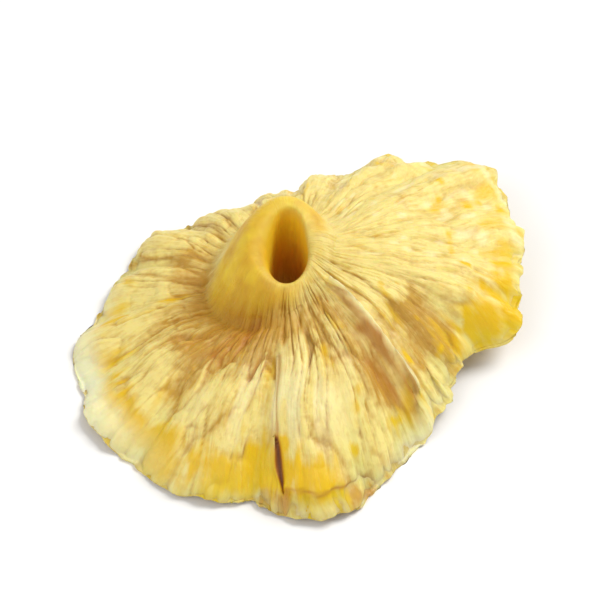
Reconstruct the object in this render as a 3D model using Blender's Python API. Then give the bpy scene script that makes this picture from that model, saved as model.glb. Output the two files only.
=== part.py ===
"""One slice of dried pineapple: a thin ring of flesh that dried into a dome.

The hard core in the middle shrank least and stands up like a small volcano round its hole.
The flesh falls away from it as a fan of ribs and ends in a wavy rim, one lobe for each
fruitlet that the knife cut. The slice lies dome up on the lowest lobes of its rim.
+Z is up, -Y is the front with the long lobes, and the origin is on the table under the
middle of the slice.
"""

import bpy
import numpy as np

MM = 0.001
NAME = "pineapple_slice"

# Core, with the hole longer from front to back than it is wide. It narrows downwards from
# the left. The core's wall runs out further where it has further to fall.
HOLE_HALF_WIDTH = 3.1 * MM
HOLE_HALF_LENGTH = 5.6 * MM
HOLE_TAPER = 0.55 * MM
LIP_HEIGHT = 20.4 * MM
LIP_BACK_RISE = 2.0 * MM
LIP_ROUND = 0.7 * MM
SHOULDER = 1.8
SHOULDER_TOWARDS = 190.0
CORE_BOTTOM = 7.8 * MM
CORE_BACK_DROP = 3.0 * MM
CORE_WALL = 4.4 * MM
RUN_PER_FALL = 0.50

# Flesh, which leaves the core near the lip on the right and far below it on the left
FOOT_HEIGHT = 13.6 * MM
FOOT_TILT = 5.2 * MM
FOOT_TILT_TOWARDS = -20.0
FLESH_THICKNESS = 2.9 * MM
RIM_THICKNESS = 1.8 * MM
DOME_POWER = 1.8

# Each fruitlet's lobe, anticlockwise from the right as seen from above: its direction in
# degrees, then in mm its reach from the hole's axis, how far its rim is off the table, and
# how deep the notch is between it and the next lobe. Where the rim is below the table it is
# cut flat, and the slice rests there.
LOBES = (
    (4.0, 37.6, 5.8, 0.9),
    (21.0, 39.6, 7.2, 0.9),
    (38.0, 42.2, 7.6, 1.4),
    (60.0, 35.8, 5.0, 1.2),
    (77.0, 30.2, 2.0, 0.6),
    (97.0, 26.4, -0.7, 1.0),
    (119.0, 25.6, 0.0, 1.2),
    (144.0, 28.6, 0.4, 1.1),
    (168.0, 29.2, 0.1, 0.9),
    (192.0, 34.8, -0.7, 1.2),
    (216.0, 37.4, -0.2, 1.0),
    (243.0, 38.0, 0.2, 3.4),
    (280.0, 39.9, 0.1, 1.1),
    (300.0, 33.8, -0.8, 1.1),
    (320.0, 31.2, 1.4, 1.6),
    (340.0, 29.8, 3.4, 0.8),
    (353.0, 36.8, 5.0, 0.6),
)
LOBE_CROWN = 0.9 * MM
CLEFT_DEPTH = 0.8 * MM
CLEFT_HALF_WIDTH = 3.2

# Bundles of fibres that fan out from the core: how many go round, how much they turn on the
# way to the rim, where they start, both in radians, and their share of the rib height.
RIB_HEIGHT = 0.42 * MM
RIBS = ((17, 1.0, 0.4, 0.42), (26, -1.4, 1.9, 0.33), (41, 1.6, 3.3, 0.25))

# Creases in the upper side, each from one radius and direction to another, with its half
# width and depth: mm and degrees. The first two are the crack at the front and the crease
# that leads to it. The others are the fold between the right lobe and the front, and the
# ridge beside it, which has a depth below zero.
CREASES = (
    (28.0, 267.5, 35.0, 267.5, 0.8, 1.2),
    (18.5, 267.5, 28.0, 267.5, 0.7, 0.5),
    (12.0, 311.5, 20.0, 312.0, 1.2, 0.6),
    (20.0, 312.0, 28.0, 312.0, 1.7, 0.7),
    (11.0, 317.5, 26.5, 316.5, 1.1, -0.6),
)

COLUMNS = 144
FLESH_COLOUR = (0.83, 0.60, 0.19, 1.0)


def clear_scene():
    for old in list(bpy.data.objects):
        bpy.data.objects.remove(old, do_unlink=True)


def ease(value, low, high):
    """0 at low, 1 at high, and smooth between them."""
    part = np.clip((value - low) / (high - low), 0.0, 1.0)
    return part * part * (3.0 - 2.0 * part)


def lobe_place(angle):
    """The lobe at or before each angle, the one after it, and the share of the way between."""
    directions = np.radians([lobe[0] for lobe in LOBES])
    turned = np.mod(angle - directions[0], 2 * np.pi)
    offsets = directions - directions[0]
    before = np.searchsorted(offsets, turned, side="right") - 1
    after = (before + 1) % len(LOBES)
    gaps = np.mod(directions[after] - directions[before], 2 * np.pi)
    return before, after, (turned - offsets[before]) / gaps


def lobe_value(angle, column):
    """A column of the table of lobes in metres, eased from each lobe to the next."""
    before, after, share = lobe_place(angle)
    values = np.array([lobe[column] for lobe in LOBES]) * MM
    return values[before] + (values[after] - values[before]) * ease(share, 0.0, 1.0)


def rim_reach(angle):
    """Distance of the rim from the hole's axis, with a notch between each two lobes."""
    before, _, share = lobe_place(angle)
    notch = (1.0 - np.abs(2.0 * share - 1.0)) ** 2.2
    depths = np.array([lobe[3] for lobe in LOBES]) * MM
    return lobe_value(angle, 1) - depths[before] * notch


def hole_reach(angle):
    """Distance of the hole's wall from its axis: an ellipse, drawn in a little at the back."""
    round_hole = HOLE_HALF_WIDTH * HOLE_HALF_LENGTH / np.hypot(
        HOLE_HALF_LENGTH * np.cos(angle), HOLE_HALF_WIDTH * np.sin(angle)
    )
    return round_hole * (1.0 - 0.16 * np.sin(angle) * np.cos(angle) ** 2)


def core_heights(angle):
    """Height of the lip, and of the upper side where the flesh leaves the core."""
    lip_height = LIP_HEIGHT + LIP_BACK_RISE * np.sin(angle)
    foot_height = FOOT_HEIGHT + FOOT_TILT * np.cos(angle - np.radians(FOOT_TILT_TOWARDS))
    return lip_height, foot_height


def shoulder(angle):
    """1 on the left of the core, where it is broad and rounded, and 0 opposite."""
    return (0.5 + 0.5 * np.cos(angle - np.radians(SHOULDER_TOWARDS))) ** 2


def foot_reach(angle):
    """Distance from the hole's axis at which the flesh leaves the core."""
    lip_height, foot_height = core_heights(angle)
    return hole_reach(angle) + CORE_WALL + RUN_PER_FALL * (lip_height - foot_height)


def section_points(angle):
    """The section's corner points, from the lip out to the rim and back below.

    For each: how many rows of the mesh lie between it and the next, its radius, its height.
    """
    hole, foot, rim = hole_reach(angle), foot_reach(angle), rim_reach(angle)
    lip_height, foot_height = core_heights(angle)
    rim_height = lobe_value(angle, 2) + RIM_THICKNESS
    fall, run = lip_height - foot_height, foot - hole
    bottom = CORE_BOTTOM + (foot_height - FOOT_HEIGHT) / 2 - CORE_BACK_DROP * np.sin(angle)
    round_lip = LIP_ROUND * (1.0 + SHOULDER * shoulder(angle))
    taper = HOLE_TAPER * (1.0 - np.cos(angle))

    def wall(out, down):
        further = 0.10 * shoulder(angle) * (1.0 - out)
        return hole + (out + further) * run, lip_height - (down - further / 3) * fall

    def flesh(out, below):
        arch = rim_height + (foot_height - rim_height) * (1.0 - out**DOME_POWER)
        return foot + (rim - foot) * out, arch - below

    return (
        (2, hole + round_lip, lip_height),
        (2, *wall(0.33, 0.10)),
        (2, *wall(0.56, 0.40)),
        (2, *wall(0.77, 0.79)),
        (3, *flesh(0.0, 0.0)),
        (3, *flesh(0.34, 0.0)),
        (3, *flesh(0.68, 0.0)),
        (2, *flesh(0.94, 0.2 * MM)),
        (2, rim, rim_height - 0.6 * RIM_THICKNESS),
        (3, *flesh(0.94, 0.9 * RIM_THICKNESS)),
        (4, *flesh(0.60, 0.9 * FLESH_THICKNESS)),
        (3, *flesh(0.15, FLESH_THICKNESS)),
        (2, hole + CORE_WALL, (bottom + foot_height - FLESH_THICKNESS) / 2),
        (2, hole - taper + 2.0 * MM, bottom),
        (2, hole - taper, bottom + 1.2 * MM),
        (2, hole - taper / 2, (lip_height + bottom) / 2),
        (1, hole + 0.05 * MM, lip_height - round_lip),
    )


def closed_curve(values, knots, total, at):
    """A smooth closed curve through values, which lie at knots, read at other places."""
    count = len(knots)
    before = np.roll(values, 1, axis=0)
    after = np.roll(values, -1, axis=0)
    spans = np.mod(np.roll(knots, -1) - knots, total)
    slopes = (after - before) / (spans + np.roll(spans, 1))[:, None]
    left = np.searchsorted(knots, at, side="right") - 1
    right = (left + 1) % count
    span = spans[left]
    part = (at - knots[left]) / span
    column = np.arange(len(at))
    return (
        values[left, column] * (1 + 2 * part) * (1 - part) ** 2
        + slopes[left, column] * span * part * (1 - part) ** 2
        + values[right, column] * part**2 * (3 - 2 * part)
        - slopes[right, column] * span * part**2 * (1 - part)
    )


def ribs(angle, out):
    """Height of the bundles of fibres, which start at the core's foot."""
    wave = sum(
        weight * np.cos(count * angle + turn * out + start)
        for count, turn, start, weight in RIBS
    )
    return RIB_HEIGHT * wave * ease(out, 0.0, 0.3) * (1.0 - 0.4 * ease(out, 0.8, 1.0))


def clefts(angle, out):
    """Depth of the furrows between the lobes, which deepen towards the rim."""
    before, after, place = lobe_place(angle)
    directions = np.array([lobe[0] for lobe in LOBES])
    gap = np.mod(directions[after] - directions[before], 360.0)
    off = np.abs(place - 0.5) * gap
    return CLEFT_DEPTH * np.exp(-((off / CLEFT_HALF_WIDTH) ** 2)) * ease(out, 0.2, 0.8)


def creases(across, back):
    """Depth of the creases at points of the upper side, given from the hole's axis."""
    depth = np.zeros_like(across)
    for start_reach, start_turn, end_reach, end_turn, half_width, deep in CREASES:
        turns = np.radians((start_turn, end_turn))
        ends = np.array((start_reach, end_reach)) * MM * np.array((np.cos(turns), np.sin(turns)))
        start, along = ends[:, 0], ends[:, 1] - ends[:, 0]
        part = ((across - start[0]) * along[0] + (back - start[1]) * along[1]) / (along @ along)
        part = np.clip(part, 0.0, 1.0)
        off = np.hypot(across - start[0] - part * along[0], back - start[1] - part * along[1])
        depth = depth + deep * MM * np.exp(-((off / (half_width * MM)) ** 2))
    return depth


def slice_points(angle, row):
    """Where each point of the ring lies: angle goes round the hole, row round the section."""
    points = section_points(angle)
    rows = np.array([point[0] for point in points])
    knots = np.concatenate(([0], np.cumsum(rows)[:-1]))
    radius = closed_curve(np.array([point[1] for point in points]), knots, rows.sum(), row)
    height = closed_curve(np.array([point[2] for point in points]), knots, rows.sum(), row)

    foot = foot_reach(angle)
    out = np.clip((radius - foot) / (rim_reach(angle) - foot), 0.0, 1.0)
    _, _, place = lobe_place(angle)
    wave = ribs(angle, out) + LOBE_CROWN / 2 * np.cos(2 * np.pi * place) * ease(out, 0.1, 0.9)
    across, back = radius * np.cos(angle), radius * np.sin(angle)
    cut = clefts(angle, out) + creases(across, back) * (1.0 - ease(out, 0.93, 1.0))
    upper = row < knots[8]
    height = height + np.where(upper, wave - cut, 0.6 * wave)
    return np.stack((across, back, np.maximum(height, 0.0)), axis=1)


def make_material():
    material = bpy.data.materials.new("dried_pineapple")
    material.use_nodes = True
    shader = material.node_tree.nodes["Principled BSDF"]
    shader.inputs["Base Color"].default_value = FLESH_COLOUR
    shader.inputs["Roughness"].default_value = 0.5
    shader.inputs["Metallic"].default_value = 0.0
    return material


def make_slice():
    """A torus whose round section is drawn out into the slice's, corner point by corner point."""
    middle, section = 2.0 * MM, 1.0 * MM
    rows = sum(point[0] for point in section_points(np.zeros(1)))
    bpy.ops.mesh.primitive_torus_add(
        major_segments=COLUMNS, minor_segments=rows, major_radius=middle, minor_radius=section
    )
    fruit = bpy.context.object
    fruit.name = fruit.data.name = NAME
    mesh = fruit.data
    points = np.empty(len(mesh.vertices) * 3, np.float32)
    mesh.vertices.foreach_get("co", points)
    points = points.reshape(-1, 3).astype(float)
    angle = np.mod(np.arctan2(points[:, 1], points[:, 0]), 2 * np.pi)
    around = np.arctan2(points[:, 2], np.hypot(points[:, 0], points[:, 1]) - middle)
    row = np.round((np.pi - around) / (2 * np.pi) * rows) % rows
    points = slice_points(angle, row)
    low, high = points.min(axis=0), points.max(axis=0)
    points -= ((low[0] + high[0]) / 2, (low[1] + high[1]) / 2, low[2])
    mesh.vertices.foreach_set("co", points.astype(np.float32).ravel())
    mesh.update()
    mesh.shade_smooth()
    mesh.materials.clear()
    mesh.materials.append(make_material())
    return fruit


def main():
    clear_scene()
    group = bpy.data.collections.new("dried_pineapple")
    bpy.context.scene.collection.children.link(group)
    fruit = make_slice()
    for holder in list(fruit.users_collection):
        holder.objects.unlink(fruit)
    group.objects.link(fruit)


main()
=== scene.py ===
"""One slice of dried pineapple on a pale floor, seen from the front and above.

The CAD node is the slice's plain form. Here the same form is drawn again, from the same
sizes, on a much finer net of points, and gets what the fruit shows close up: fibres that
fan out from the core, the gaps between them, puckers round the core, a ragged rim, a crack
and a fold at the front, and flesh that is cream, golden or brown by place, with painted
shade and painted highlights in its colour in places.

Directions are in degrees, anticlockwise from the right as seen from above.
"""

import math

import bpy
import numpy as np
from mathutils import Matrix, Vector


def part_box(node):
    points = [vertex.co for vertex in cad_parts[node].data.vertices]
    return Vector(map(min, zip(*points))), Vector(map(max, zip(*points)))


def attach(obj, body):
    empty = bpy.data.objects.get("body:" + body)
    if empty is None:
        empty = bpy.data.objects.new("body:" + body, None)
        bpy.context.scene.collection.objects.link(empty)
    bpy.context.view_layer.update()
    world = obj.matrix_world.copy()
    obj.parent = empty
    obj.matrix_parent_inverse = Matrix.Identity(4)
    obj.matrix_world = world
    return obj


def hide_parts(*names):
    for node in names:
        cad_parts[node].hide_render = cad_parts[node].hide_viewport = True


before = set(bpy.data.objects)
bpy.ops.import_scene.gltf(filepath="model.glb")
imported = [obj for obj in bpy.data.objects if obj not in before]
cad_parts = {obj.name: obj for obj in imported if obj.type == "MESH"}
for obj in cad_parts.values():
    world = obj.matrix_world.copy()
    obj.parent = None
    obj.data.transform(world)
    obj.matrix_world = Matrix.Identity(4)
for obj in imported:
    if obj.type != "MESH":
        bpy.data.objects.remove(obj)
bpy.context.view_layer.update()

MM = 0.001
CAD_NODE = "pineapple_slice"

# Core, with the hole longer from front to back than it is wide. It narrows downwards from
# the left. The core's wall runs out further where it has further to fall.
HOLE_HALF_WIDTH = 3.1 * MM
HOLE_HALF_LENGTH = 5.6 * MM
HOLE_TAPER = 0.55 * MM
LIP_HEIGHT = 20.4 * MM
LIP_BACK_RISE = 2.0 * MM
LIP_ROUND = 0.7 * MM
SHOULDER = 1.8
SHOULDER_TOWARDS = 190.0
CORE_BOTTOM = 7.8 * MM
CORE_BACK_DROP = 3.0 * MM
CORE_WALL = 4.4 * MM
RUN_PER_FALL = 0.50

# Flesh, which leaves the core near the lip on the right and far below it on the left
FOOT_HEIGHT = 13.6 * MM
FOOT_TILT = 5.2 * MM
FOOT_TILT_TOWARDS = -20.0
FLESH_THICKNESS = 2.9 * MM
RIM_THICKNESS = 1.8 * MM
DOME_POWER = 1.8

# Each fruitlet's lobe: its direction in degrees, then in mm its reach from the hole's axis,
# how far its rim is off the table, and how deep the notch is between it and the next lobe.
# The last number says how golden the outer part of the fruitlet is: not at all at 0, and
# all over from 1 up.
LOBES = (
    (4.0, 37.6, 5.8, 0.9, 0.9),
    (21.0, 39.6, 7.2, 0.9, 0.4),
    (38.0, 42.2, 7.6, 1.4, 0.2),
    (60.0, 35.8, 5.0, 1.2, 0.3),
    (77.0, 30.2, 2.0, 0.6, 0.4),
    (97.0, 26.4, -0.7, 1.0, 0.6),
    (119.0, 25.6, 0.0, 1.2, 0.4),
    (144.0, 28.6, 0.4, 1.1, 0.2),
    (168.0, 29.2, 0.1, 0.9, 0.3),
    (192.0, 34.8, -0.7, 1.2, 0.4),
    (216.0, 37.4, -0.2, 1.0, 0.8),
    (243.0, 38.0, 0.2, 3.4, 1.0),
    (280.0, 39.9, 0.1, 1.1, 1.0),
    (300.0, 33.8, -0.8, 1.1, 0.2),
    (320.0, 31.2, 1.4, 1.6, 0.3),
    (340.0, 29.8, 3.4, 0.8, 0.3),
    (353.0, 36.8, 5.0, 0.6, 1.3),
)
DIRECTION, REACH, LIFT, NOTCH, GOLDEN_SHARE = range(5)

# How far each lobe is crowned, and the cleft between two lobes, its half width in degrees
LOBE_CROWN = 0.9 * MM
CLEFT_DEPTH = 0.8 * MM
CLEFT_HALF_WIDTH = 3.2

# Corner points of the section, counted from the lip: the outermost one, and the one at the
# bottom of the core, after which the hole's wall starts
RIM_CORNER = 8
BOTTOM_CORNER = 13

# Bundles of fibres: how many go round, how much they turn on the way to the rim, where they
# start, both in radians, and their share of the rib height.
RIB_HEIGHT = 0.42 * MM
RIBS = ((17, 1.0, 0.4, 0.42), (26, -1.4, 1.9, 0.33), (41, 1.6, 3.3, 0.25))

# Creases of the upper side, each from one radius and direction to another, with its half
# width and depth: mm and degrees. The first two are the crack at the front and the thin
# crease that leads to it, the next two the fold at the front right, and then come the ridge
# beside the fold and the shallow hollow on the right.
CRACK = (28.8, 266.5, 35.6, 269.0, 0.42)
CRACK_LINE = (17.0, 265.6, 29.4, 266.6, 0.26)
RIDGE = (9.0, 317.5, 28.0, 317.5, 0.9)
CREASES = (
    (*CRACK, 1.3),
    (*CRACK_LINE, 0.4),
    (12.0, 311.5, 20.0, 312.0, 1.2, 0.7),
    (20.0, 312.0, 28.0, 312.0, 1.7, 0.8),
    (*RIDGE, -1.3),
    (18.5, 332.0, 28.0, 335.0, 3.4, 0.7),
)
DEEPEST_CUT = 1.5 * MM

# Dull stains of the flesh, given like the creases, but with a strength in place of the depth:
# three front left of the core, one each on the left and at the back left, one beside the
# fold, one in the hollow on the right, and one along the front rim. The three front left of
# the core and the one in the hollow are partly painted shade.
STAINS_AND_SHADE = (
    (10.0, 215.0, 18.0, 246.0, 5.0, 0.80),
    (13.0, 248.0, 22.0, 242.0, 2.8, 0.60),
    (14.0, 226.0, 24.0, 222.0, 3.0, 0.50),
    (15.0, 192.0, 24.0, 200.0, 5.5, 0.50),
    (13.0, 150.0, 20.0, 160.0, 4.5, 0.30),
    (11.0, 298.0, 27.0, 306.0, 4.0, 0.65),
    (18.5, 332.0, 28.0, 335.0, 4.8, 1.30),
    (38.5, 258.0, 39.5, 292.0, 2.4, 0.35),
)

# Places with a look of their own, given like the creases without a depth: the brown of the
# fold, the thin line of painted shade beside it, the painted shade in the gaps front left of
# the core, the golden flesh and the brown round the crack, the painted highlight on the ridge,
# and the strip without gaps at the crack
FOLD_BROWN = (17.0, 310.5, 29.5, 312.0, 2.5)
RIDGE_SIDE_SHADE = (10.0, 313.0, 28.0, 314.5, 0.5)
CORE_SHADE = (11.0, 238.0, 22.0, 241.0, 7.0)
CRACK_GOLD = (*CRACK[:4], 2.0)
CRACK_BROWN = (*CRACK[:4], 0.35)
CRACK_LINE_BROWN = (*CRACK_LINE[:4], 0.22)
RIDGE_HIGHLIGHT = (*RIDGE[:4], 0.7)
CLEAR_OF_GAPS = (15.0, 265.4, 38.0, 269.4, 1.5)
MOST_BROWN_OFF_CRACK = 0.46

# The furrow that runs round the left of the core, where the flesh is sunk against it
FURROW_DEPTH = 0.5 * MM
FURROW_TOWARDS = 205.0
FURROW_HALF_WIDTH_MM = 0.9

# The step near the front rim, where a thin lower layer of flesh stands out further
STEP_OUT = 0.90
STEP_SOFTNESS = 0.012
STEP_HEIGHT = 0.7 * MM
STEP_FROM, STEP_TO = 268.0, 294.0

# Fineness of the net of points. Within a few degrees of the crack its columns are closer
# together, by up to five times.
COLUMNS = 720
CROWD = 4.0
CROWD_WIDTH = 2.5

# Gaps between the fibres: how many cells of noise go round, how long each is, the half width
# of a gap as a share of the noise, and how deep the gaps are. The last ones run every way.
GAPS = (
    (46, 12.0 * MM, 0.060, 0.45 * MM),
    (104, 8.0 * MM, 0.075, 0.40 * MM),
    (190, 4.0 * MM, 0.100, 0.14 * MM),
    (84, 2.2 * MM, 0.085, 0.20 * MM),
)
FIRST_GAP_SEED = 31
LUMP_HEIGHT = 0.45 * MM
PUCKER_DEPTH = 0.22 * MM
RIM_RAGGED = 0.7 * MM
RIM_CURL = 0.7 * MM
RIM_LEAST_HEIGHT = 0.5 * MM

# Colours in sRGB, from 0 to 255
CREAM = (241, 220, 134)
# Painted highlight colour, also used for pale strips along the rim
HIGHLIGHT_PALE = (255, 246, 196)
# Tan of the stains, and of the painted shade in the gaps and round the core's foot
TAN = (196, 152, 62)
GOLD = (234, 190, 10)
# Painted shade: the deep ochre of the hollow front left of the core's foot and of the furrow
FOOT_SHADE_OCHRE = (192, 136, 16)
CORE_LIGHT = (250, 216, 46)
CORE_DARK = (224, 171, 14)
# Painted light down the hole: a bright gold for light glowing through the core's wall below the
# lip, and an orange-brown painted shade deeper down
HOLE_GLOW_GOLD = (255, 206, 40)
HOLE_DEPTH_SHADE = (255, 172, 44)
# Brown, also the colour of the painted shade beside the ridge, on the step's face and in gaps
BROWN = (184, 116, 24)
DEEP_BROWN = (112, 56, 8)
FLOOR = (250, 249, 247)

# Finish of the flesh. The fibres' noise is read round a ring, where it has no seam.
FIBRE_RING = 60.0
FIBRE_LENGTH = 3 * MM
GLOSS_LEVEL = 0.4
TRANSLUCENCY = 0.35
LIGHT_REACH = 2.6 * MM
BUMP_STRENGTH = 0.9
BUMP_HEIGHT = 0.24 * MM

# Camera and floor
CAMERA_ELEVATION = 50.0
CAMERA_DISTANCE = 0.60
SENSOR_WIDTH = 36.0
FRAME_WIDTH = 0.094
FLOOR_SIZE = 3.0
FLOOR_ROUGHNESS = 0.7

# Each light's azimuth and elevation, its distance and size in metres, and its watts. The
# azimuth is anticlockwise from over the camera.
KEY_LIGHT = (118.0, 50.0, 0.9, 0.45, 6.3)
FILL_LIGHT = (-50.0, 38.0, 1.0, 0.9, 3.7)
SKY_COLOUR = (1.0, 0.99, 0.97, 1.0)
SKY_STRENGTH = 0.46


def linear(colour):
    """An sRGB colour as the linear one, with alpha, that a shader takes."""
    parts = [part / 255.0 for part in colour]
    flat = [p / 12.92 if p <= 0.04045 else ((p + 0.055) / 1.055) ** 2.4 for p in parts]
    return (*flat, 1.0)


def ease(value, low, high):
    """0 at low, 1 at high, and smooth between them."""
    part = np.clip((value - low) / (high - low), 0.0, 1.0)
    return part * part * (3.0 - 2.0 * part)


def band(value, middle, width):
    """1 where the value is at the middle, and close to 0 from two widths away."""
    return np.exp(-(((value - middle) / width) ** 2))


def nearness(angle, direction):
    """1 in a direction, 0 opposite, and smooth between them."""
    return 0.5 + 0.5 * np.cos(angle - np.radians(direction))


def towards(angle, direction, low, high):
    """1 near a direction, and 0 away from it: the cosine between them, eased."""
    return ease(np.cos(angle - np.radians(direction)), low, high)


def cell_noise(angle, reach, around, length, seed):
    """Smooth noise from 0 to 1, without a seam: cells go round the slice and out along it.

    Each use has a seed of its own, so that no two patterns are alike.
    """
    steps = int(60 * MM / length) + 2
    values = np.random.default_rng(seed).random((around, steps + 1))
    turn = np.mod(angle / (2 * np.pi), 1.0) * around
    out = np.clip(reach / length, 0.0, steps - 1.001)
    column, row = np.floor(turn).astype(int) % around, np.floor(out).astype(int)
    across, along = ease(turn - np.floor(turn), 0.0, 1.0), ease(out - np.floor(out), 0.0, 1.0)
    after = (column + 1) % around
    near = values[column, row] * (1 - across) + values[after, row] * across
    far = values[column, row + 1] * (1 - across) + values[after, row + 1] * across
    return near * (1 - along) + far * along


def centred_noise(angle, reach, around, length, seed):
    """The same noise from -0.5 to 0.5."""
    return cell_noise(angle, reach, around, length, seed) - 0.5


def rim_noise(angle, around, seed):
    """Noise from -0.5 to 0.5 that changes round the slice, but not out along it."""
    return centred_noise(angle, 0 * angle, around, MM, seed)


def lobe_place(angle):
    """The lobe at or before each angle, the one after it, and the share of the way between."""
    directions = np.radians([lobe[DIRECTION] for lobe in LOBES])
    turned = np.mod(angle - directions[0], 2 * np.pi)
    offsets = directions - directions[0]
    before = np.searchsorted(offsets, turned, side="right") - 1
    after = (before + 1) % len(LOBES)
    gaps = np.mod(directions[after] - directions[before], 2 * np.pi)
    return before, after, (turned - offsets[before]) / gaps


def lobe_value(angle, column):
    """A column of the table of lobes, eased from each lobe to the next."""
    before, after, share = lobe_place(angle)
    values = np.array([lobe[column] for lobe in LOBES])
    return values[before] + (values[after] - values[before]) * ease(share, 0.0, 1.0)


def rim_reach(angle):
    """Distance of the ragged rim from the hole's axis, with a notch between each two lobes."""
    before, _, share = lobe_place(angle)
    notch = (1.0 - np.abs(2.0 * share - 1.0)) ** 2.2
    depths = np.array([lobe[NOTCH] for lobe in LOBES]) * MM
    ragged = rim_noise(angle, 96, 11) + 0.6 * rim_noise(angle, 230, 12)
    ragged *= 1.0 + 0.7 * np.cos(angle)
    return lobe_value(angle, REACH) * MM - depths[before] * notch + RIM_RAGGED * ragged


def hole_reach(angle):
    """Distance of the hole's wall from its axis: an ellipse, drawn in a little at the back."""
    round_hole = HOLE_HALF_WIDTH * HOLE_HALF_LENGTH / np.hypot(
        HOLE_HALF_LENGTH * np.cos(angle), HOLE_HALF_WIDTH * np.sin(angle)
    )
    return round_hole * (1.0 - 0.16 * np.sin(angle) * np.cos(angle) ** 2)


def core_heights(angle):
    """Height of the lip, and of the upper side where the flesh leaves the core."""
    lip_height = LIP_HEIGHT + LIP_BACK_RISE * np.sin(angle)
    foot_height = FOOT_HEIGHT + FOOT_TILT * np.cos(angle - np.radians(FOOT_TILT_TOWARDS))
    return lip_height, foot_height


def shoulder(angle):
    """1 on the left of the core, where it is broad and rounded, and 0 opposite."""
    return nearness(angle, SHOULDER_TOWARDS) ** 2


def foot_reach(angle):
    """Distance from the hole's axis at which the flesh leaves the core."""
    lip_height, foot_height = core_heights(angle)
    return hole_reach(angle) + CORE_WALL + RUN_PER_FALL * (lip_height - foot_height)


def section_points(angle):
    """The section's corner points, from the lip out to the rim and back below.

    For each: how many rows of the CAD node's mesh and of this one lie between it and the
    next, its radius, its height.
    """
    hole, foot, rim = hole_reach(angle), foot_reach(angle), rim_reach(angle)
    lip_height, foot_height = core_heights(angle)
    rim_height = lobe_value(angle, LIFT) * MM + RIM_THICKNESS
    fall, run = lip_height - foot_height, foot - hole
    bottom = CORE_BOTTOM + (foot_height - FOOT_HEIGHT) / 2 - CORE_BACK_DROP * np.sin(angle)
    round_lip = LIP_ROUND * (1.0 + SHOULDER * shoulder(angle))
    taper = HOLE_TAPER * (1.0 - np.cos(angle))

    def wall(out, down):
        further = 0.10 * shoulder(angle) * (1.0 - out)
        return hole + (out + further) * run, lip_height - (down - further / 3) * fall

    def flesh(out, below):
        arch = rim_height + (foot_height - rim_height) * (1.0 - out**DOME_POWER)
        return foot + (rim - foot) * out, arch - below

    return (
        (2, 5, hole + round_lip, lip_height),
        (2, 5, *wall(0.33, 0.10)),
        (2, 6, *wall(0.56, 0.40)),
        (2, 8, *wall(0.77, 0.79)),
        (3, 20, *flesh(0.0, 0.0)),
        (3, 20, *flesh(0.34, 0.0)),
        (3, 18, *flesh(0.68, 0.0)),
        (2, 8, *flesh(0.94, 0.2 * MM)),
        (2, 6, rim, rim_height - 0.6 * RIM_THICKNESS),
        (3, 8, *flesh(0.94, 0.9 * RIM_THICKNESS)),
        (4, 8, *flesh(0.60, 0.9 * FLESH_THICKNESS)),
        (3, 6, *flesh(0.15, FLESH_THICKNESS)),
        (2, 4, hole + CORE_WALL, (bottom + foot_height - FLESH_THICKNESS) / 2),
        (2, 5, hole - taper + 2.0 * MM, bottom),
        (2, 4, hole - taper, bottom + 1.2 * MM),
        (2, 4, hole - taper / 2, (lip_height + bottom) / 2),
        (1, 3, hole + 0.05 * MM, lip_height - round_lip),
    )


def closed_curve(values, knots, total, at):
    """A smooth closed curve through values, which lie at knots, read at other places."""
    before = np.roll(values, 1, axis=0)
    after = np.roll(values, -1, axis=0)
    spans = np.mod(np.roll(knots, -1) - knots, total)
    slopes = (after - before) / (spans + np.roll(spans, 1))[:, None]
    left = np.searchsorted(knots, at, side="right") - 1
    right = (left + 1) % len(knots)
    span = spans[left]
    part = (at - knots[left]) / span
    column = np.arange(len(at))
    return (
        values[left, column] * (1 + 2 * part) * (1 - part) ** 2
        + slopes[left, column] * span * part * (1 - part) ** 2
        + values[right, column] * part**2 * (3 - 2 * part)
        - slopes[right, column] * span * part**2 * (1 - part)
    )


def ribs(angle, out):
    """Height of the bundles of fibres, which start at the core's foot."""
    wave = sum(
        weight * np.cos(count * angle + turn * out + start)
        for count, turn, start, weight in RIBS
    )
    return RIB_HEIGHT * wave * ease(out, 0.0, 0.3) * (1.0 - 0.4 * ease(out, 0.8, 1.0))


def clefts(angle, out):
    """1 along the furrows between the lobes, which deepen towards the rim."""
    before, after, place = lobe_place(angle)
    directions = np.array([lobe[DIRECTION] for lobe in LOBES])
    gap = np.mod(directions[after] - directions[before], 360.0)
    off = np.abs(place - 0.5) * gap
    return band(off, 0.0, CLEFT_HALF_WIDTH) * ease(out, 0.2, 0.8)


def crease(across, back, start_reach, start_turn, end_reach, end_turn, half_width):
    """1 along a wavy line from one radius and direction to another, pointed at both ends."""
    turns = np.radians((start_turn, end_turn))
    ends = np.array((start_reach, end_reach)) * MM * np.array((np.cos(turns), np.sin(turns)))
    start, along = ends[:, 0], ends[:, 1] - ends[:, 0]
    length = np.hypot(*along)
    part = ((across - start[0]) * along[0] + (back - start[1]) * along[1]) / length**2
    beside = ((across - start[0]) * along[1] - (back - start[1]) * along[0]) / length
    inside = np.clip(part, 0.0, 1.0)
    width = half_width * MM * (0.3 + 0.7 * np.sin(np.pi * inside) ** 0.8)
    beside = beside + 0.25 * half_width * MM * np.sin(9.0 * inside)
    return np.exp(-((beside**2 + (length * (part - inside)) ** 2) / width**2))


def column_angles():
    """The angle of each column of the net, with the columns crowded round the crack."""
    turn = np.linspace(0.0, 360.0, 3601)
    crack_turn = (CRACK[1] + CRACK[3]) / 2
    crowding = 1.0 + CROWD * band(turn, crack_turn, CROWD_WIDTH)
    share = np.cumsum(crowding) - crowding[0]
    return np.radians(np.interp(np.arange(COLUMNS) / COLUMNS, share / share[-1], turn))


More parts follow.
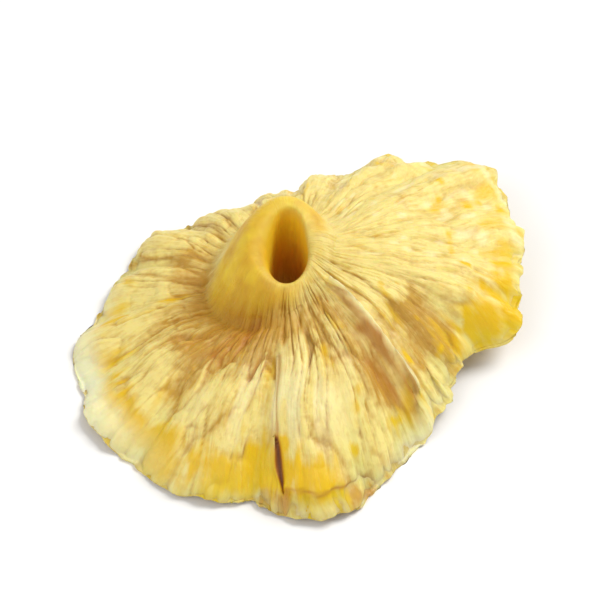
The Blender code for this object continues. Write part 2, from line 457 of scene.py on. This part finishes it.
class Net:
    """The fine net of points: for each point its direction, its row, and the form there."""

    def __init__(self):
        spans = section_points(np.zeros(1))
        coarse = np.cumsum([0] + [span[0] for span in spans])
        fine = np.cumsum([0] + [span[1] for span in spans])
        self.rows = int(fine[-1])
        column, place = np.indices((COLUMNS, self.rows)).reshape(2, -1)
        self.angle = column_angles()[column]
        self.turn = np.degrees(self.angle)
        self.row = np.interp((self.rows // 2 - place) % self.rows, fine, coarse)
        self.upper = self.row < coarse[RIM_CORNER]
        self.in_hole = self.row > coarse[BOTTOM_CORNER]
        points = section_points(self.angle)
        total = coarse[-1]
        radii, heights = (np.array([point[k] for point in points]) for k in (2, 3))
        self.radius = closed_curve(radii, coarse[:-1], total, self.row)
        self.height = closed_curve(heights, coarse[:-1], total, self.row)
        foot = foot_reach(self.angle)
        flesh_run = rim_reach(self.angle) - foot
        self.out = np.clip((self.radius - foot) / flesh_run, 0.0, 1.0)
        self.mm_from_core = (self.radius - foot) / MM
        self.across = self.radius * np.cos(self.angle)
        self.back = self.radius * np.sin(self.angle)

    def near(self, *line):
        """1 along a crease, which is given by its two ends and its half width."""
        return crease(self.across, self.back, *line)

    def cut(self):
        """Depth of the furrows and creases, held so that they don't come through below."""
        depth = CLEFT_DEPTH * clefts(self.angle, self.out)
        inside_rim = 1.0 - ease(self.out, 0.93, 1.0)
        for *line, deep in CREASES:
            depth = depth + deep * MM * self.near(*line) * inside_rim
        return np.where(depth > 0.0, DEEPEST_CUT * (1.0 - np.exp(-depth / DEEPEST_CUT)), depth)

    def plain_points(self):
        """The CAD node's form at each point of the net."""
        _, _, place = lobe_place(self.angle)
        crown = LOBE_CROWN / 2 * np.cos(2 * np.pi * place) * ease(self.out, 0.1, 0.9)
        wave = ribs(self.angle, self.out) + crown
        height = self.height + np.where(self.upper, wave - self.cut(), 0.6 * wave)
        return np.stack((self.across, self.back, height), axis=1)

    def normals(self, points):
        """The direction that each point of the net faces."""
        net = points.reshape(COLUMNS, self.rows, 3)
        round_it = np.roll(net, -1, axis=0) - np.roll(net, 1, axis=0)
        along = np.roll(net, -1, axis=1) - np.roll(net, 1, axis=1)
        facing = np.cross(round_it, along).reshape(-1, 3)
        return facing / np.linalg.norm(facing, axis=1, keepdims=True)


def fibre_angle(net):
    """The angle at which the fibre through each point leaves the core, as fibres wander."""
    slow = centred_noise(net.angle, net.radius, 22, 9 * MM, 21)
    quick = centred_noise(net.angle, net.radius, 60, 4 * MM, 22)
    return net.angle + 0.10 * slow + 0.025 * quick


def gap_strength(net):
    """How far the gaps are open: not at all on the core, and most beyond it, front left.

    They start higher up the core at the front right, and there are none along the crack.
    """
    higher = 3.0 * towards(net.angle, 300.0, 0.0, 0.8)
    strength = ease(net.mm_from_core + higher, -2.0, 2.0)
    front_left = towards(net.angle, 243.0, 0.1, 0.8)
    strength *= 1.0 + 0.7 * front_left * band(net.mm_from_core, 5.0, 4.0)
    return strength * (1.0 - net.near(*CLEAR_OF_GAPS))


def fibre_gaps(net, bent):
    """Depth of the gaps between the fibres, and the same from 0 to 1 for the colours."""
    depth = np.zeros_like(bent)
    for seed, (around, length, width, deep) in enumerate(GAPS, start=FIRST_GAP_SEED):
        noise = centred_noise(bent, net.radius, around, length, seed)
        depth += deep * np.exp(-np.abs(noise) / width)
    most = sum(gap[3] for gap in GAPS)
    strength = gap_strength(net)
    return depth * strength, depth / most * strength


def front_step(net):
    """Depth of the lower layer of flesh that stands out along the front rim."""
    start = ease(net.turn, STEP_FROM, STEP_FROM + 3.0)
    ends = start * (1.0 - ease(net.turn, STEP_TO - 6.0, STEP_TO))
    wander = 0.05 * rim_noise(net.angle, 70, 62)
    inner, outer = STEP_OUT - STEP_SOFTNESS + wander, STEP_OUT + STEP_SOFTNESS + wander
    return STEP_HEIGHT * ends * ease(net.out, inner, outer)


def puckers(net, bent):
    """Height of the short wrinkles where the flesh leaves the core."""
    noise = centred_noise(bent, net.radius, 120, 5 * MM, 41)
    return 2 * PUCKER_DEPTH * noise * band(net.mm_from_core, -0.5, 2.8)


def furrow(net):
    """1 along the furrow round the left of the core."""
    side = towards(net.angle, FURROW_TOWARDS, 0.35, 0.95)
    return band(net.mm_from_core, 0.2, FURROW_HALF_WIDTH_MM) * side * net.upper


def relief(net, bent, gap_depth):
    """How far each point stands out from the plain form."""
    side = np.where(net.upper, 1.0, 0.5)
    lumps = centred_noise(net.angle, net.radius, 40, 4 * MM, 51)
    lumps += 0.6 * centred_noise(net.angle, net.radius, 90, 2 * MM, 52)
    outer = ease(net.out, 0.05, 0.4)
    step = front_step(net) * (1.0 - ease(net.out, 0.95, 1.0))
    shallower = 1.0 - np.clip(net.cut() / DEEPEST_CUT, 0.0, 1.0)
    lower = (gap_depth + step) * shallower + FURROW_DEPTH * furrow(net)
    return side * (puckers(net, bent) - lower + LUMP_HEIGHT * lumps * outer)


def curl(net):
    """How far the thin rim curls up and down."""
    noise = rim_noise(net.angle, 52, 61) + 0.5 * rim_noise(net.angle, 117, 63)
    return RIM_CURL * 2 * noise * ease(net.out, 0.78, 1.0)


def shape_points(net, bent, gap_depth):
    """The points with all their relief, and the upper side held clear of the table."""
    points = net.plain_points()
    points += net.normals(points) * relief(net, bent, gap_depth)[:, None]
    least = np.where(net.upper, RIM_LEAST_HEIGHT, 0.0)
    points[:, 2] = np.maximum(points[:, 2] + curl(net), least)
    return points


def placed(points):
    """The points moved to where the CAD node is: its middle in plan, its foot in height."""
    low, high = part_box(CAD_NODE)
    own_low, own_high = points.min(axis=0), points.max(axis=0)
    shift = (np.array(low) + np.array(high) - own_low - own_high) / 2
    shift[2] = low[2] - own_low[2]
    return points + shift


def wandering_reach(net):
    """The radius of each point, shifted in and out so that patches end in ragged lines."""
    slow = centred_noise(net.angle, net.radius, 40, 5 * MM, 77)
    quick = centred_noise(net.angle, net.radius, 160, 3 * MM, 78)
    return net.radius + (3.5 * slow + 3.0 * quick) * MM


def golden(net, bent, reach):
    """Where the flesh is golden: near the rim of some lobes, by the crack, and in flecks."""
    middle = 0.80 + 0.12 * np.clip(np.cos(net.angle), 0.0, 1.0)
    middle += 0.06 * towards(net.angle, 238.0, 0.4, 0.9)
    wanted = lobe_value(net.angle, GOLDEN_SHARE) * band(net.out, middle, 0.18)
    wanted += 0.8 * net.near(*CRACK_GOLD)
    fleck = ease(cell_noise(net.angle, net.radius, 76, 2.2 * MM, 79), 0.72, 0.95)
    flecks = 0.75 * fleck * towards(net.angle, 0.0, -0.4, 0.6) * ease(net.out, 0.1, 0.4)
    blotch = centred_noise(bent, reach, 34, 5 * MM, 71)
    patch = centred_noise(bent, reach, 90, 2.6 * MM, 72)
    streak = centred_noise(bent, reach, 210, 3 * MM, 73)
    return ease(wanted + flecks + 0.8 * blotch + 0.5 * patch + 0.75 * streak, 0.20, 1.20)


def waxy(net):
    """Where the smooth core is: far down to the left, close to the hole on the right."""
    edge = 1.7 + 7.8 * nearness(net.angle, 196.0) ** 3.2
    edge += 4.0 * ease(np.sin(net.angle), 0.2, 0.9)
    edge += 1.2 * centred_noise(net.angle, net.radius, 26, 5 * MM, 74)
    from_hole = (net.radius - hole_reach(net.angle)) / MM
    skin = net.upper | net.in_hole
    pale_lip = band(from_hole, 0.8, 1.7) * (0.2 + 0.55 * nearness(net.angle, 325.0))
    return (1.0 - ease(from_hole, edge - 1.6, edge + 1.4)) * (1.0 - pale_lip) * skin


def painted_foot_shade(net):
    """Painted shade in deep ochre: in the hollow front left of the core's foot, and in the
    furrow.
    """
    side = np.clip(np.cos(net.angle - np.radians(232.0)), 0.0, 1.0) ** 2
    wander = 1.6 * centred_noise(net.angle, net.radius, 60, 4 * MM, 80)
    # Painted shade in the hollow at the core's foot, most at the front left
    hollow = band(net.mm_from_core + wander, 0.0, 3.0) * side * net.upper
    return np.maximum(hollow, 0.8 * furrow(net))


def dull_and_painted_shade(net, bent, gaps, reach):
    """Where the flesh is dull: in the stains, and as painted shade in the gaps and round the
    core's foot.
    """
    # Painted shade round the core's foot, most at the front left
    foot = band(net.mm_from_core, 1.0, 3.5) * nearness(net.angle, 225.0)
    along = reach * np.cos(bent), reach * np.sin(bent)
    # Stains, partly painted shade front left of the core and in the hollow on the right
    stain_and_shade = sum(strength * crease(*along, *line) for *line, strength in STAINS_AND_SHADE)
    # Painted shade in the gaps between the fibres, fainter on the right, towards the key light
    fainter = 0.95 - 0.50 * towards(net.angle, 20.0, -0.3, 0.7)
    between = fainter * ease(gaps, 0.08, 0.65)
    blotch = centred_noise(bent, reach, 44, 4 * MM, 75)
    fine = centred_noise(bent, reach, 170, 3 * MM, 76)
    return 0.5 * foot + stain_and_shade + between + 0.30 * blotch + 0.30 * fine


def rib_highlights(net, bent):
    """Painted highlight: 1 on some of the ribs halfway out to the front rim."""
    front = band(net.turn, 268.0, 26.0) * band(net.out, 0.48, 0.22)
    return front * ease(cell_noise(bent, net.radius, 84, 9 * MM, 82), 0.50, 0.72)


def speck_highlights(net, bent):
    """Painted highlight: 1 in the bright specks of the flesh at the back right."""
    speck = ease(cell_noise(bent, net.radius, 120, 1.9 * MM, 83), 0.60, 0.85)
    return speck * towards(net.angle, 35.0, 0.70, 0.95) * ease(net.out, 0.0, 0.2)


def painted_highlights_and_pale_rims(net, bent):
    """Where the flesh is palest: painted highlights on the left rim, the ridge, some ribs and
    specks, and pale strips along other parts of the rim.
    """
    # Painted highlight on the left rim, washed pale by the light
    left = ease(net.out, 0.75, 0.93) * band(net.turn, 203.0, 26.0)
    right_of_front = ease(net.out, 0.88, 0.98) * band(net.turn, 311.0, 11.0)
    foremost = ease(net.out, 0.93, 0.99) * band(net.turn, 275.0, 20.0)
    pale = left + 0.5 * right_of_front + 0.6 * net.near(*RIDGE_HIGHLIGHT)
    pale += 0.5 * rib_highlights(net, bent)
    pale += 0.2 * foremost
    pale += 0.4 * speck_highlights(net, bent)
    return pale * net.upper


def fold_brown_and_painted_shade(net, gaps):
    """How brown the fold is, with painted shade in its gaps, and the painted shade of the thin
    line beside it and of the gaps front left of the core.
    """
    streaks = ease(cell_noise(net.angle, net.radius, 150, 5 * MM, 81), 0.40, 0.75)
    # Brown along the fold, with painted shade in its gaps
    fold = net.near(*FOLD_BROWN) * (0.14 + 0.32 * streaks + 0.4 * gaps)
    # Painted shade in the thin line on the shaded side of the ridge
    brown = fold + 0.28 * net.near(*RIDGE_SIDE_SHADE)
    # Painted shade in the gaps front left of the core
    brown += 0.5 * net.near(*CORE_SHADE) * ease(gaps, 0.2, 0.8)
    return np.minimum(brown, MOST_BROWN_OFF_CRACK)


def brown_marks_and_painted_shade(net, gaps):
    """Where the flesh is brown: in the crack and the fold; and painted shade on the step's face
    and in the gaps by the core.
    """
    crack = np.maximum(net.near(*CRACK_BROWN), 0.3 * net.near(*CRACK_LINE_BROWN))
    step = front_step(net) / STEP_HEIGHT
    marks = np.maximum(crack, fold_brown_and_painted_shade(net, gaps))
    # Painted shade on the face of the step along the front rim
    return np.maximum(marks, 1.6 * step * (1.0 - step)) * net.upper


def inside_hole(net, start, end):
    """0 at one depth down the hole's wall and 1 at another, both in mm below the lip."""
    lip_height, _ = core_heights(net.angle)
    return net.in_hole * ease((lip_height - net.height) / MM, start, end)


def colour_masks(net, bent, gaps):
    """Shares from 0 to 1 of each colour at each point: kinds of flesh, painted shade and painted
    highlights.
    """
    reach = wandering_reach(net)
    masks = {
        "gold": golden(net, bent, reach),
        "core": waxy(net),
        # painted shade at the core's foot and in the furrow
        "foot": painted_foot_shade(net),
        # dull stains, and painted shade in the gaps and round the core's foot
        "dull_and_shade": dull_and_painted_shade(net, bent, gaps, reach),
        # painted highlights, and pale strips along the rim
        "pale": painted_highlights_and_pale_rims(net, bent),
        # brown of the crack and the fold, and painted shade
        "brown": brown_marks_and_painted_shade(net, gaps),
        # painted glow just below the hole's lip, and painted shade deeper down the hole
        "hole": inside_hole(net, 0.2, 2.0),
        "deep": inside_hole(net, 4.5, 13.0),
    }
    return {name: np.clip(mask, 0.0, 1.0) for name, mask in masks.items()}


def store(mesh, name, values):
    """Keeps one number, or one vector, for each point of the mesh for its material to read."""
    kind = "FLOAT" if values.ndim == 1 else "FLOAT_VECTOR"
    key = "value" if values.ndim == 1 else "vector"
    layer = mesh.attributes.new(name, kind, "POINT")
    layer.data.foreach_set(key, values.astype(np.float32).ravel())


def net_faces(columns, rows):
    """The four corners of each face of a net that closes both ways, like a torus."""
    column, row = np.indices((columns, rows)).reshape(2, -1)
    next_column, next_row = (column + 1) % columns, (row + 1) % rows
    here, beside = column * rows, next_column * rows
    return np.stack((here + row, beside + row, beside + next_row, here + next_row), axis=1)


def fibre_places(net, bent):
    """Where each point reads the noise of the fibres, which is long along them."""
    across, back = FIBRE_RING * np.cos(bent), FIBRE_RING * np.sin(bent)
    return np.stack((across, back, net.radius / FIBRE_LENGTH), axis=1)


def make_slice():
    """The slice as one closed mesh, with the shares of its colours stored at its points."""
    net = Net()
    bent = fibre_angle(net)
    gap_depth, gaps = fibre_gaps(net, bent)
    points = placed(shape_points(net, bent, gap_depth))
    mesh = bpy.data.meshes.new("pineapple_slice_flesh")
    mesh.from_pydata(points.tolist(), [], net_faces(COLUMNS, net.rows).tolist())
    mesh.shade_smooth()
    fruit = bpy.data.objects.new("pineapple_slice_flesh", mesh)
    bpy.context.scene.collection.objects.link(fruit)
    for name, values in colour_masks(net, bent, gaps).items():
        store(mesh, name, values)
    store(mesh, "fibre_place", fibre_places(net, bent))
    return fruit


class Nodes:
    """Short names for the few kinds of node that the materials use."""

    def __init__(self, name):
        self.material = bpy.data.materials.new(name)
        self.material.use_nodes = True
        self.tree = self.material.node_tree
        self.shader = self.tree.nodes["Principled BSDF"]

    def put(self, socket, value):
        if isinstance(value, bpy.types.NodeSocket):
            self.tree.links.new(value, socket)
        else:
            socket.default_value = value

    def attribute(self, name, output="Fac"):
        made = self.tree.nodes.new("ShaderNodeAttribute")
        made.attribute_name = name
        return made.outputs[output]

    def object_place(self):
        return self.tree.nodes.new("ShaderNodeTexCoord").outputs["Object"]

    def noise(self, place, scale, detail=3.0, roughness=0.5):
        made = self.tree.nodes.new("ShaderNodeTexNoise")
        made.inputs["Scale"].default_value = scale
        made.inputs["Detail"].default_value = detail
        made.inputs["Roughness"].default_value = roughness
        self.put(made.inputs["Vector"], place)
        return made.outputs["Fac"]

    def add(self, first, second):
        made = self.tree.nodes.new("ShaderNodeMath")
        made.operation = "ADD"
        self.put(made.inputs[0], first)
        self.put(made.inputs[1], second)
        return made.outputs[0]

    def spread(self, value, low, high, new_low=0.0, new_high=1.0):
        """Stretches a value from low..high to new_low..new_high, and holds it there."""
        made = self.tree.nodes.new("ShaderNodeMapRange")
        self.put(made.inputs["Value"], value)
        made.inputs["From Min"].default_value = low
        made.inputs["From Max"].default_value = high
        made.inputs["To Min"].default_value = new_low
        made.inputs["To Max"].default_value = new_high
        return made.outputs["Result"]

    def mix(self, share, low, high):
        made = self.tree.nodes.new("ShaderNodeMix")
        made.data_type = "RGBA"
        self.put(made.inputs["Factor"], share)
        self.put(made.inputs["A"], low)
        self.put(made.inputs["B"], high)
        return made.outputs["Result"]


def dull_and_shade_share(nodes, strands, mottle, grain):
    """How dull the flesh is, from stains and from painted shade: its stored share, broken up
    along the fibres and in spots.
    """
    dull = nodes.add(nodes.attribute("dull_and_shade"), nodes.spread(strands, 0.36, 0.64, -0.16, 0.16))
    dull = nodes.add(dull, nodes.spread(mottle, 0.3, 0.7, -0.12, 0.12))
    dull = nodes.add(dull, nodes.spread(grain, 0.36, 0.66, -0.12, 0.16))
    return nodes.spread(dull, 0.0, 1.0)


def gold_share(nodes, strands, mottle):
    """How golden the flesh is: its stored share, broken up in the same way."""
    gold = nodes.add(nodes.attribute("gold"), nodes.spread(mottle, 0.3, 0.7, -0.12, 0.12))
    gold = nodes.add(gold, nodes.spread(strands, 0.36, 0.64, -0.12, 0.12))
    return nodes.spread(gold, 0.05, 0.9)


def flesh_colour(nodes, strands, mottle, grain):
    """Cream flesh, with each of the other colours laid over it where its share says."""
    # Tan for the stains, and for the painted shade in the gaps and round the core's foot
    colour = nodes.mix(dull_and_shade_share(nodes, strands, mottle, grain), linear(CREAM), linear(TAN))
    colour = nodes.mix(gold_share(nodes, strands, mottle), colour, linear(GOLD))
    # Painted highlights, and pale strips along the rim
    colour = nodes.mix(nodes.attribute("pale"), colour, linear(HIGHLIGHT_PALE))
    wax = nodes.mix(nodes.spread(mottle, 0.30, 0.70), linear(CORE_DARK), linear(CORE_LIGHT))
    colour = nodes.mix(nodes.attribute("core"), colour, wax)
    # Painted shade in deep ochre at the core's foot and in the furrow
    colour = nodes.mix(nodes.attribute("foot"), colour, linear(FOOT_SHADE_OCHRE))
    # Painted glow below the hole's lip, then painted shade deeper down the hole
    colour = nodes.mix(nodes.attribute("hole"), colour, linear(HOLE_GLOW_GOLD))
    colour = nodes.mix(nodes.attribute("deep"), colour, linear(HOLE_DEPTH_SHADE))
    # Brown of the crack and the fold, and painted shade beside the ridge, on the step's face and
    # in gaps
    brown = nodes.attribute("brown")
    colour = nodes.mix(nodes.spread(brown, 0.0, 0.6), colour, linear(BROWN))
    return nodes.mix(nodes.spread(brown, 0.5, 1.0), colour, linear(DEEP_BROWN))


def flesh_bump(nodes, strands, mottle, grain):
    """Fine relief of the flesh: fibres most, then grain and mottling."""
    height = nodes.add(strands, nodes.spread(mottle, 0.0, 1.0, 0.0, 0.5))
    height = nodes.add(height, nodes.spread(grain, 0.0, 1.0, 0.0, 0.7))
    bump = nodes.tree.nodes.new("ShaderNodeBump")
    bump.inputs["Strength"].default_value = BUMP_STRENGTH
    bump.inputs["Distance"].default_value = BUMP_HEIGHT
    nodes.put(bump.inputs["Height"], height)
    return bump.outputs["Normal"]


def flesh_material():
    nodes = Nodes("dried_pineapple_flesh")
    place = nodes.object_place()
    strands = nodes.noise(nodes.attribute("fibre_place", "Vector"), 1.0, 4.0, 0.6)
    mottle = nodes.noise(place, 260.0, 3.0)
    grain = nodes.noise(place, 850.0, 2.0)
    sockets = nodes.shader.inputs
    nodes.put(sockets["Base Color"], flesh_colour(nodes, strands, mottle, grain))
    nodes.put(sockets["Roughness"], nodes.spread(strands, 0.3, 0.7, 0.36, 0.58))
    nodes.put(sockets["Normal"], flesh_bump(nodes, strands, mottle, grain))
    sockets["Specular IOR Level"].default_value = GLOSS_LEVEL
    sockets["Subsurface Weight"].default_value = TRANSLUCENCY
    sockets["Subsurface Radius"].default_value = (1.0, 0.55, 0.14)
    sockets["Subsurface Scale"].default_value = LIGHT_REACH
    return nodes.material


def floor_material():
    nodes = Nodes("pale_floor")
    grain = nodes.noise(nodes.object_place(), 6.0)
    darker = tuple(part - 3 for part in FLOOR)
    nodes.put(nodes.shader.inputs["Base Color"], nodes.mix(grain, linear(darker), linear(FLOOR)))
    nodes.shader.inputs["Roughness"].default_value = FLOOR_ROUGHNESS
    return nodes.material


def make_floor():
    bpy.ops.mesh.primitive_plane_add(size=FLOOR_SIZE)
    floor = bpy.context.object
    floor.name = "floor"
    floor.data.materials.append(floor_material())


def add_light(name, azimuth, elevation, distance, size, watts, target):
    """A square soft light that looks at the target; azimuth 0 is over the camera."""
    turn, rise = math.radians(azimuth), math.radians(elevation)
    flat = math.cos(rise)
    away = Vector((math.sin(turn) * flat, -math.cos(turn) * flat, math.sin(rise)))
    data = bpy.data.lights.new(name, "AREA")
    data.size = size
    data.energy = watts
    light = bpy.data.objects.new(name, data)
    light.location = target + away * distance
    light.rotation_euler = (-away).to_track_quat("-Z", "Y").to_euler()
    bpy.context.scene.collection.objects.link(light)


def light_scene(target):
    world = bpy.data.worlds.new("studio")
    world.use_nodes = True
    sky = world.node_tree.nodes["Background"]
    sky.inputs["Color"].default_value = SKY_COLOUR
    sky.inputs["Strength"].default_value = SKY_STRENGTH
    bpy.context.scene.world = world
    add_light("key", *KEY_LIGHT, target)
    add_light("fill", *FILL_LIGHT, target)


def make_camera(target):
    rise = math.radians(CAMERA_ELEVATION)
    away = Vector((0.0, -math.cos(rise), math.sin(rise)))
    data = bpy.data.cameras.new("camera")
    data.sensor_width = SENSOR_WIDTH
    data.lens = SENSOR_WIDTH * CAMERA_DISTANCE / FRAME_WIDTH
    data.clip_start = 0.01
    camera = bpy.data.objects.new("camera", data)
    camera.location = target + away * CAMERA_DISTANCE
    camera.rotation_euler = (-away).to_track_quat("-Z", "Y").to_euler()
    bpy.context.scene.collection.objects.link(camera)
    bpy.context.scene.camera = camera


def main():
    fruit = make_slice()
    fruit.data.materials.append(flesh_material())
    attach(fruit, "root")
    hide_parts(CAD_NODE)
    low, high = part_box(CAD_NODE)
    target = (low + high) / 2
    make_floor()
    light_scene(target)
    make_camera(target)
    bpy.context.scene.view_settings.view_transform = "Standard"


main()
